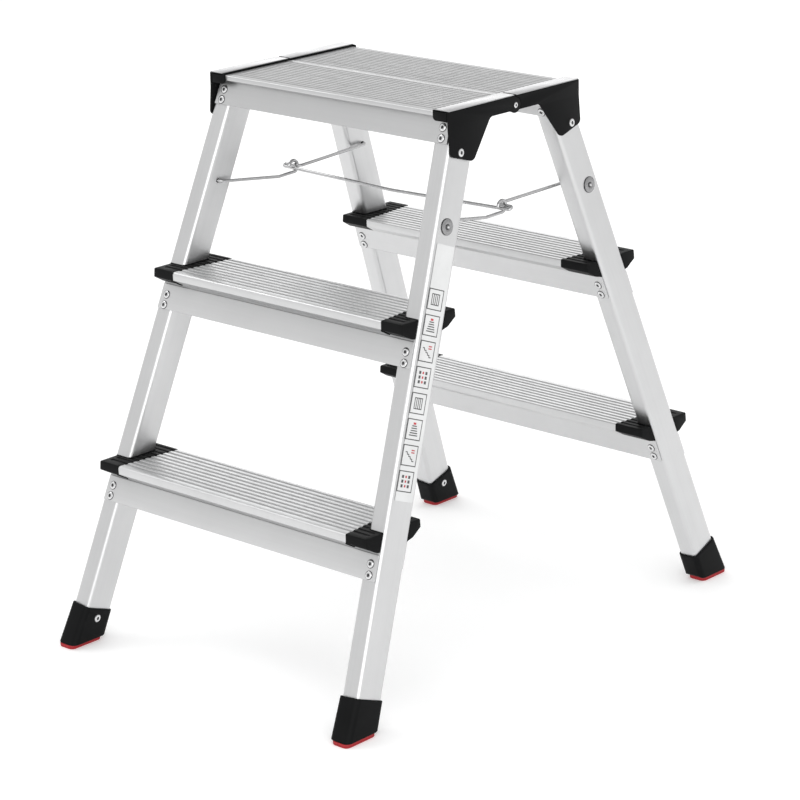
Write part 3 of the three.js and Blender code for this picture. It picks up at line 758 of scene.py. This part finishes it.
def platform_half():
    """A ribbed channel with a lip along its front edge and another along the seam."""
    bottom, under, lip = PLATFORM_FLANGE_BOTTOM, DECK_TOP - DECK_THICKNESS, DECK_TOP - DECK_LIP
    first_y = -DECK_EDGE_Y + PLATFORM_BORDER
    floor_z = DECK_TOP - PLATFORM_GROOVE_DEPTH

    def side(z, offset):
        return leg_y(z) + offset

    def end(y, z):
        return DECK_HALF_LENGTH if z > under - 0.1 else min(tread_end_x(z), DECK_HALF_LENGTH)

    grooves = []
    for i in range(1, PLATFORM_RIBS):
        y = first_y + i * PLATFORM_RIB_PITCH
        low, high = y - PLATFORM_GROOVE_HALF, y + PLATFORM_GROOVE_HALF
        grooves += [(low, DECK_TOP), (low + PLATFORM_GROOVE_SLOPE, floor_z),
                    (high - PLATFORM_GROOVE_SLOPE, floor_z), (high, DECK_TOP)]
    outline = [
        (side(bottom, -FLANGE_OUTSIDE), bottom, 0.5), (side(lip - 2.6, -FLANGE_OUTSIDE), lip - 2.6),
        (side(lip - 1, -FLANGE_OUTSIDE), lip - 1, 0.3),
        (-DECK_EDGE_Y, lip - 0.6, 0.8), (-DECK_EDGE_Y, DECK_TOP, 1.2),
        *grooves,
        (-SEAM_HALF_GAP, DECK_TOP, 1.0), (-SEAM_HALF_GAP, DECK_TOP - SEAM_LIP, 0.5),
        (-SEAM_HALF_GAP - FLANGE, DECK_TOP - SEAM_LIP, 0.5), (-SEAM_HALF_GAP - FLANGE, under, 0.5),
        (side(under, FLANGE_OUTSIDE), under, 0.5), (side(bottom, FLANGE_OUTSIDE), bottom, 0.5),
        (side(bottom, FLANGE_INSIDE), bottom, 0.5), (side(under, FLANGE_INSIDE), under, 0.5),
        (side(under, -FLANGE_INSIDE), under, 0.5), (side(bottom, -FLANGE_INSIDE), bottom, 0.5),
    ]
    deck = along_x(softened(outline), [(lambda y, z: -end(y, z), 0), (end, 0)])

    # Painted shade: rib tops take a darker aluminium, and the grooves, the strip just below the front lip and
    # the flanges' bottom rims a darker one still
    def finish(middle, normal):
        drop = DECK_TOP - middle.z
        ribbed = first_y < middle.y < -PLATFORM_BORDER
        if ribbed and drop < 0.1 and normal.z > 0.9:
            return RIB_TOP_PAINTED_SHADE
        groove = ribbed and 0.1 < drop < PLATFORM_GROOVE_DEPTH + 0.1 and normal.z > 0.05
        front = lip - 2.7 < middle.z < lip + 0.2 and middle.y < -90
        under_lip = front and (normal.z < -0.5 or normal.y < -0.5)
        rim = middle.z < bottom + 1.5 and normal.z < -0.2
        return PAINTED_SHADE if groove or under_lip or rim else PLAIN
    return shade(deck, finish)


def blind_rivet(radius=RIVET_RADIUS):
    """The domed head of a blind rivet on a ring of painted shade at its rim, and painted shade on the broken
    end of its pin in the head's hollow.
    """
    scale = radius / RIVET_RADIUS
    head = lathe([(0, -0.3), (4.5, -0.3), (4.55, 0.35), (4.4, 0.8), (3.8, 1.2), (3.1, 1.45), (2.5, 1.5),
                  (2.05, 1.3), (1.85, 0.9), (1.8, 0.1), (0, 0.1)], 36)
    # Painted shade: a dark disc whose ring shows round the head in place of the rim's dark reflection, and a
    # dark plug over the pin's end in place of the hollow's shade
    dark = [lathe([(0, -0.35), (5.0, -0.35), (5.15, 0.0), (5.1, 0.25), (4.85, 0.4), (0, 0.4)], 36),
            lathe([(0, 0.05), (1.82, 0.05), (1.82, 0.4), (1.1, 0.5), (0.8, 0.8), (0, 0.72)], 20)]
    for part in dark:
        for face in part.faces:
            face.material_index = PAINTED_SHADE
    rivet = merged([head, *dark])
    rivet.transform(Matrix.Diagonal((scale, scale, scale, 1)))
    return rivet


def flange_rivets(name):
    """All the rivets through the two flanges of a tread or platform half, at both of its ends."""
    rivets = []
    for side, places in FLANGE_RIVETS[name].items():
        sign = -1 if side == "out" else 1
        for z in places:
            y = leg_y(z) + sign * FLANGE_OUTSIDE
            rivet = pointing(blind_rivet(), (leg_x(z), y, z), (0, sign, -sign * LEG_LEAN), z)
            rivets += [turned(rivet, "front", -1), rivet]
    return merged(rivets)


def ear_arc(radius, first, last, steps=18):
    """An arc about the hinge, in degrees, as (y, z) points."""
    angles = [math.radians(first + (last - first) * k / steps) for k in range(steps + 1)]
    return [(radius * math.cos(a), HINGE_Z + radius * math.sin(a)) for a in angles]


def bracket(outer_ear):
    """A plate in two layers: one carries the ear and the other has a round recess for its neighbour's ear."""
    inside, middle = BRACKET_X - BRACKET_THICKNESS, BRACKET_X - BRACKET_THICKNESS / 2
    top = TOP_FLANGE[1]
    lobe = [(-BRACKET_EDGE_Y, top, 1.2), (-BRACKET_EDGE_Y, 609.3, 6), (-76.65, 598.1, 8),
            (-42.9, WEB_BOTTOM, 8)]
    ear = [(-9.5, WEB_BOTTOM), *ear_arc(EAR_RADIUS, *EAR_ARC), (-SEAM_HALF_GAP, top)]
    recess = [*ear_arc(EAR_RADIUS + EAR_CLEARANCE, *RECESS_ARC), (-SEAM_HALF_GAP, top)]
    edge = 0.6
    plates = []
    for outer in (True, False):
        outline = softened(lobe + (ear if outer == outer_ear else recess), steps=6)
        face, sign = (BRACKET_X, -1) if outer else (inside, 1)
        plates.append(along_x(outline, [(middle - 0.05 * sign, 0), (face + sign * edge, 0),
                                        (face + sign * 0.3 * edge, 0.3 * edge), (face, edge)]))
    for plate in plates:
        bmesh.ops.bisect_plane(plate, geom=plate.verts[:] + plate.edges[:] + plate.faces[:],
                               plane_co=(0, 0, BRACKET_BEND_Z), plane_no=(0, 0, 1))
        for vertex in plate.verts:
            if vertex.co.y < -EAR_RADIUS:
                vertex.co.x += LEG_SPLAY * max(0.0, BRACKET_BEND_Z - vertex.co.z)
    flange = soft_box((BRACKET_X - TOP_FLANGE_WIDTH, -BRACKET_EDGE_Y, TOP_FLANGE[0]),
                      (BRACKET_X - 0.5, -SEAM_HALF_GAP, top - 0.02), 0.3)
    return merged([*plates, flange, edge_tab()])


def edge_tab():
    """The tab that wraps the platform's front edge, with a round corner and a groove beside the plate."""
    left, right = BRACKET_X - EDGE_TAB_WIDTH, BRACKET_X - BRACKET_THICKNESS - 0.5
    outline = softened([(left, TOP_FLANGE[1], 1.0), (right, TOP_FLANGE[1], 0.5),
                        (right, EDGE_TAB_BOTTOM, 0.5), (left, EDGE_TAB_BOTTOM, 4.5)], steps=6)
    front, back = -BRACKET_EDGE_Y, -DECK_EDGE_Y - 0.3
    rings = []
    for y, shrink in ((front, 0.6), (front + 0.2, 0.2), (front + 0.6, 0), (back, 0)):
        rings.append([(x, y, z) for x, z in inset(outline, shrink)])
    return loft(rings)


def edge_strip():
    low = (BRACKET_X - TOP_FLANGE_WIDTH + 1.2, -BRACKET_EDGE_Y + 0.6, TOP_FLANGE[1] - 0.02)
    return soft_box(low, (BRACKET_X - 0.4, -SEAM_HALF_GAP - 1.6, HEIGHT), 0.35)


def shoe():
    """A sleeve cut almost square to the leg at its top and level at its foot, with a flare and a cut heel."""
    rows = 14
    flare_top = SHOE_TOP + FLARE_RISE

    def wall(share, grow, lift=0.0, shrink=0.0):
        width, depth = LEG_WIDTH + 2 * grow - 2 * shrink, LEG_DEPTH + 2 * grow - 2 * shrink
        ring = []
        for u, v in rounded_rectangle(width, depth, LEG_CORNER + grow - shrink, 8):
            top = SHOE_TOP + LEG_SPLAY * u - SHOE_TOP_FALL * v
            z = SHOE_BOTTOM + (top - SHOE_BOTTOM) * share + lift
            toe = min(1.0, max(0.0, (-v - FLARE_START) / FLARE_LENGTH))
            flare = TOE_FLARE * LEG_COSINE * toe * toe * (3 - 2 * toe)
            v -= flare * (1 - (z - SHOE_BOTTOM) / (flare_top - SHOE_BOTTOM))
            v = min(v, LEG_DEPTH / 2 + HEEL_REACH - HEEL_CHAMFER + (z - SHOE_BOTTOM + 1))
            ring.append(leg_point(u, v, z))
        return ring

    outer = [wall((k / rows) ** 1.4, SHOE_WALL) for k in range(1, rows)]
    rings = [wall(0, SHOE_WALL, 0, 1.0), wall(0, SHOE_WALL, 0.25, 0.3), wall(0, SHOE_WALL, 0.9), *outer]
    rings += [wall(1, SHOE_WALL, -0.6), wall(1, SHOE_WALL, -0.15, 0.2), wall(1, SHOE_WALL, 0, 0.7),
              wall(1, 0.35, 0), wall(1, 0.3, -8)]
    return loft(rings)


def sole():
    low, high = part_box("front_right_sole")
    size, middle = (high - low) / MM, (high + low) / 2 / MM
    rings = []
    for share, shrink in ((0, 1.2), (0.08, 0.5), (0.2, 0.15), (0.42, 0.1), (0.46, 0.5), (0.52, 0.5),
                          (0.56, 0.02), (0.9, 0.02), (1, 0.3)):
        outline = rounded_rectangle(size.x - 2 * shrink, size.y - 2 * shrink, SOLE_CORNER - shrink)
        rings.append([(middle.x + x, middle.y + y, size.z * share) for x, y in outline])
    return loft(rings)


def washer():
    """A push-on washer: a flat rim, a raised dish and a hollow from which the wire's end stands out."""
    profile = [(0, 0.0), (WASHER_RADIUS - 0.2, 0.0), (WASHER_RADIUS, 0.2), (WASHER_RADIUS, 0.65),
               (WASHER_RADIUS - 0.5, 0.95), (7.6, 1.0), (7.0, 1.25), (6.2, 1.75), (5.4, 1.85), (4.4, 1.7),
               (3.4, 1.2), (2.7, 1.0), (2.2, 1.15), (0, 1.15)]
    z = STAY_PIVOT["z"]
    place = (leg_x(z) + LEG_WIDTH / 2 + 0.1, -STAY_PIVOT["y"], z)
    disc = lathe(profile, 40)
    # Painted shade on the washer's outer edge and on a ring in its hollow
    for face in disc.faces:
        middle = face.calc_center_median()
        radius = math.hypot(middle.x, middle.y)
        face.material_index = PAINTED_SHADE if radius > WASHER_RADIUS - 0.8 or 2.3 < radius < 3.4 else PLAIN
    return pointing(disc, place, (1, 0, LEG_SPLAY))


def bail():
    """A wire from leg to leg, with a hairpin at each side and a crossbar that sags a little."""
    y, z = STAY_PIVOT["y"], STAY_PIVOT["z"]
    high = (HAIRPIN_HALF["y"], STAY_MEET["z"] + HAIRPIN_HALF["z"])
    low = (-HAIRPIN_HALF["y"], STAY_MEET["z"] - HAIRPIN_HALF["z"])
    turn = math.hypot(HAIRPIN_HALF["y"], HAIRPIN_HALF["z"]) - 0.01
    side = [
        (STAY_END_X, y, z, 0), (STAY_ARM_X, y, z, 5), (BAIL_CORNER_X, *high, 4), (HAIRPIN_X, *high, turn),
        (HAIRPIN_X, *low, turn), (0, low[0] - BAIL_SAG["y"], low[1] - BAIL_SAG["z"], BAIL_SAG["radius"]),
    ]
    other = [(-x, *rest) for x, *rest in reversed(side[:-1])]
    return sweep(bend(side + other), WIRE_RADIUS, WIRE_SIDES)


def hook():
    """A stay whose end curls round the bail's hairpin into an eye."""
    y, z = STAY_PIVOT["y"], STAY_PIVOT["z"]
    x, middle = STAY_MEET["x"], STAY_MEET["z"]
    path = bend([
        (STAY_END_X, -y, z, 0), (STAY_ARM_X, -y, z, 5), (x - 0.8, -26, middle - 7.8, 14),
        (x - 0.4, -4, middle - EYE_RADIUS - 0.1, 0), (x - 0.3, 0, middle - EYE_RADIUS, 0),
    ])[:-1]
    for k in range(EYE_STEPS + 1):
        angle = math.radians(-90 + EYE_TURN * k / EYE_STEPS)
        path.append(Vector((x - 0.3 + EYE_LEAN * k / EYE_STEPS, EYE_RADIUS * math.cos(angle),
                            middle + EYE_RADIUS * math.sin(angle))))
    return sweep(path, WIRE_RADIUS, WIRE_SIDES)


# ---------------------------------------------------------------- label

LEG_SIDE = {
    "along": Vector((-LEG_SPLAY, LEG_LEAN, 1)).normalized(),
    "out": Vector((1, 0, LEG_SPLAY)).normalized(),
}
LEG_SIDE["across"] = LEG_SIDE["out"].cross(LEG_SIDE["along"])


def on_label(z, outline, lift, thickness):
    """A thin flat shape on the front right leg's outer face: (across, along) from its middle at z."""
    origin = Vector((leg_x(z) + LEG_WIDTH / 2, leg_y(z), z))

    def at(p, out):
        return origin + LEG_SIDE["across"] * p[0] + LEG_SIDE["along"] * p[1] + LEG_SIDE["out"] * out

    return loft([[at(p, lift) for p in outline], [at(p, lift + thickness) for p in outline]])


def label_film():
    length = (LABEL["top"] - LABEL["bottom"]) / LEG_SIDE["along"].z
    outline = rounded_rectangle(LABEL["width"], length - 12, 1.5, 4)
    return on_label((LABEL["top"] + LABEL["bottom"]) / 2, outline, LABEL["lift"], LABEL["film"])


def bar_mark(x, y, width, height):
    return [Vector((x + a * width / 2, y + b * height / 2)) for a, b in ((-1, -1), (1, -1), (1, 1), (-1, 1))]


def panel_marks(index):
    """Plain shapes for one printed box: its dark frame and marks, then its red marks."""
    w, h, t = PANEL["width"] / 2, PANEL["height"] / 2, PANEL["line"]
    frame_bars = [bar_mark(0, h - t / 2, 2 * w, t), bar_mark(0, -h + t / 2, 2 * w, t),
                  bar_mark(w - t / 2, 0, t, 2 * h - 2 * t), bar_mark(-w + t / 2, 0, t, 2 * h - 2 * t)]
    red = []
    if index % 4 == 0:
        grey = [bar_mark(x, 0, 1.2, 13) for x in (-6, -3, 0, 3, 6)]
        grey += [bar_mark(0, y, 13.2, 1) for y in (-6, 6)]
    elif index % 4 == 1:
        grey = [bar_mark(0, -6.5 + 2.6 * k, 14 - 1.6 * k, 1.2) for k in range(5)]
        red = [bar_mark(0, 6.6, 4.5, 2.4)]
    elif index % 4 == 2:
        grey = [bar_mark(-6 + 3 * k, -6 + 2.4 * k, 3.2, 1.1) for k in range(5)]
        grey += [bar_mark(-4.5 + 3 * k, -4.8 + 2.4 * k, 1.1, 2.6) for k in range(4)]
        red = [bar_mark(-4.5, 6, 5.5, 1.3), bar_mark(-4.5, 3.4, 5.5, 1.3)]
    else:
        grey = [bar_mark(x, y, 3.4, 3.4) for x in (-5.2, 5.2) for y in (-5.2, 0, 5.2)]
        red = [bar_mark(0, y, 2.6, 2.6) for y in (-5.2, 0, 5.2)]
    return frame_bars + grey, red


def label_prints():
    """The marks of every printed box, as one solid for each ink."""
    inks = ([], [])
    lift = LABEL["lift"] + LABEL["film"] - 0.02
    shift = Vector((PANEL["shift"], 0))
    for index in range(PANEL["count"]):
        z = PANEL["first_z"] - index * PANEL["pitch"]
        for solids, outlines in zip(inks, panel_marks(index)):
            for outline in outlines:
                solids.append(on_label(z, [p + shift for p in outline], lift, LABEL["ink"]))
    return [merged(solids) for solids in inks]


# ---------------------------------------------------------------- the ladder

def build_halves():
    """Everything that the front and rear halves have, each drawn once and turned to its place."""
    rivet_x = BRACKET_X + LEG_SPLAY * (BRACKET_BEND_Z - BRACKET_RIVET["z"])
    shoe_place = (leg_x(SHOE_RIVET_Z) - LEG_WIDTH / 2 - SHOE_WALL, leg_y(SHOE_RIVET_Z) - 1.5, SHOE_RIVET_Z)
    ends = {
        "leg": ("tube", leg_tube(), "leg", "frame_aluminium"),
        "lower_tread_cap": ("moulding", tread_cap(TREAD_TOPS["lower"]), "black", "black_plastic"),
        "upper_tread_cap": ("moulding", tread_cap(TREAD_TOPS["upper"]), "black", "black_plastic"),
        "platform_edge_strip": ("trim", edge_strip(), "bright", "bright_edge"),
        "bracket_rivet": ("head", pointing(blind_rivet(), (rivet_x, BRACKET_RIVET["y"], BRACKET_RIVET["z"]),
                                           (1, 0, LEG_SPLAY)), ("rivet", "steel_painted_shade"), "rivet_steel"),
        "shoe": ("moulding", shoe(), "black", "black_plastic"),
        "shoe_rivet": ("head", pointing(blind_rivet(), shoe_place, (-1, 0, -LEG_SPLAY)),
                       ("rivet", "steel_painted_shade"), "rivet_steel"),
        "sole": ("pad", sole(), "rubber", "sole_rubber"),
        "stay_washer": ("disc", washer(), ("washer", "steel_painted_shade"), "washer_steel"),
    }
    wide = {
        "platform_half": ("deck", platform_half(), "platform"),
        "lower_tread": ("channel", tread(TREAD_TOPS["lower"]), "lower_tread"),
        "upper_tread": ("channel", tread(TREAD_TOPS["upper"]), "upper_tread"),
    }
    brackets = {1: bracket(True), -1: bracket(False)}
    for half in ("front", "rear"):
        body = f"{half}_frame"
        for name, (suffix, bm, rivets) in wide.items():
            node = f"{half}_{name}"
            # The treads' second material and the platform's second and third materials carry painted shade
            finish = ("deck", "fine", "deck_rib_painted_shade") if name == "platform_half" else ("wide", "recess")
            piece(f"{node}_{suffix}", turned(bm, half, 1), finish, body, "frame_aluminium", [node],
                  SHARP_ON_CHANNELS)
            heads = turned(flange_rivets(rivets), half, 1)
            piece(f"{node}_rivets", heads, ("rivet", "steel_painted_shade"), body, "rivet_steel")
        for end in (1, -1):
            side = "left" if (end > 0) == (half == "rear") else "right"
            node = f"{half}_{side}_hinge_bracket"
            plate = turned(brackets[end], half, end)
            piece(f"{node}_moulding", plate, "black", body, "black_plastic", [node])
            for name, (suffix, bm, material, slot) in ends.items():
                node = f"{half}_{side}_{name}"
                piece(f"{node}_{suffix}", turned(bm, half, end), material, body, slot, [node])


def build_middle():
    """The hinge pins, the stays and the label."""
    for side, end in (("right", 1), ("left", -1)):
        pin = pointing(blind_rivet(3.5), (BRACKET_X + 0.05, 0, HINGE_Z), (1, 0, 0))
        piece(f"hinge_pin_{side}_head", turned(pin, "front", end), ("rivet", "steel_painted_shade"), "front_frame",
              "rivet_steel", [f"hinge_pin_{side}"])
        piece(f"front_stay_hook_{side}_wire", turned(hook(), "front", end), "wire", f"{side}_hook",
              "wire_steel", [f"front_stay_hook_{side}"])
    piece("rear_stay_bail_wire", bail(), "wire", "rear_bail", "wire_steel", ["rear_stay_bail"])
    piece("label_film", label_film(), "film", "front_frame", "label_film", ["pictogram_label"])
    dark, red = label_prints()
    piece("label_print_dark", dark, "ink", "front_frame", "label_film")
    piece("label_print_red", red, "red_ink", "front_frame", "label_film")


# ---------------------------------------------------------------- studio

def add_camera():
    yaw, pitch, roll = (math.radians(CAMERA[key]) for key in ("yaw", "pitch", "roll"))
    forward = Vector((-math.sin(yaw) * math.cos(pitch), math.cos(yaw) * math.cos(pitch), math.sin(pitch)))
    right = Vector((math.cos(yaw), math.sin(yaw), 0))
    up = right.cross(forward)
    right, up = right * math.cos(roll) + up * math.sin(roll), up * math.cos(roll) - right * math.sin(roll)
    camera = linked("camera", bpy.data.cameras.new("camera"))
    camera.data.lens = CAMERA["lens"]
    camera.data.sensor_width = 36
    camera.data.clip_end = 100
    columns = Matrix((right, up, -forward)).transposed().to_4x4()
    camera.matrix_world = Matrix.Translation(CAMERA["place"]) @ columns
    bpy.context.scene.camera = camera


def add_floor():
    shader = Shader("floor_pale")
    drift = shader.noise(shader.place(), 0.6, 2.0)
    color = shader.mix(drift, (0.92, 0.92, 0.92), (0.94, 0.94, 0.94))
    shader.fill(shader.surface, {"Emission Color": (1, 1, 1, 1), "Emission Strength": 0.2})
    shader.finish(color=color, roughness=0.9, specular=0.0)
    bm = bmesh.new()
    bmesh.ops.create_grid(bm, x_segments=2, y_segments=2, size=FLOOR_HALF_SIZE)
    mesh = as_mesh("floor", bm)
    mesh.materials.append(shader.material)
    floor = linked("floor", mesh)


def add_light(name, place, target, size, watts):
    light = bpy.data.lights.new(name, "AREA")
    light.shape = "RECTANGLE"
    light.size, light.size_y = size
    light.energy = watts
    item = linked(name, light)
    item.location = place
    item.rotation_euler = (Vector(target) - Vector(place)).to_track_quat("-Z", "Y").to_euler()


def add_world():
    world = bpy.data.worlds.new("studio")
    bpy.context.scene.world = world
    world.use_nodes = True
    tree = world.node_tree
    coordinates = tree.nodes.new("ShaderNodeTexCoord")
    split = tree.nodes.new("ShaderNodeSeparateXYZ")
    ramp = tree.nodes.new("ShaderNodeValToRGB")
    tree.links.new(coordinates.outputs["Generated"], split.inputs[0])
    tree.links.new(split.outputs["Z"], ramp.inputs[0])
    stops = ramp.color_ramp.elements
    stops[0].position, stops[0].color = 0.0, (0.95, 0.95, 0.95, 1)
    stops[1].position, stops[1].color = 0.9, (1.0, 1.0, 1.0, 1)
    tree.links.new(ramp.outputs["Color"], tree.nodes["Background"].inputs["Color"])
    tree.nodes["Background"].inputs["Strength"].default_value = 0.9


def add_studio():
    add_camera()
    add_floor()
    add_world()
    middle = (0, 0, 0.35)
    add_light("key_behind_camera", (2.9, -3.2, 1.75), middle, (4.2, 2.6), 64)
    add_light("far_left_panel", (-2.6, 2.9, 1.3), middle, (2.6, 1.6), 14)
    add_light("upper_left_panel", (-2.05, -0.9, 2.9), middle, (1.2, 1.2), 11)
    bpy.context.scene.view_settings.view_transform = "Standard"


add_studio()
build_halves()
build_middle()

bpy.context.view_layer.update()
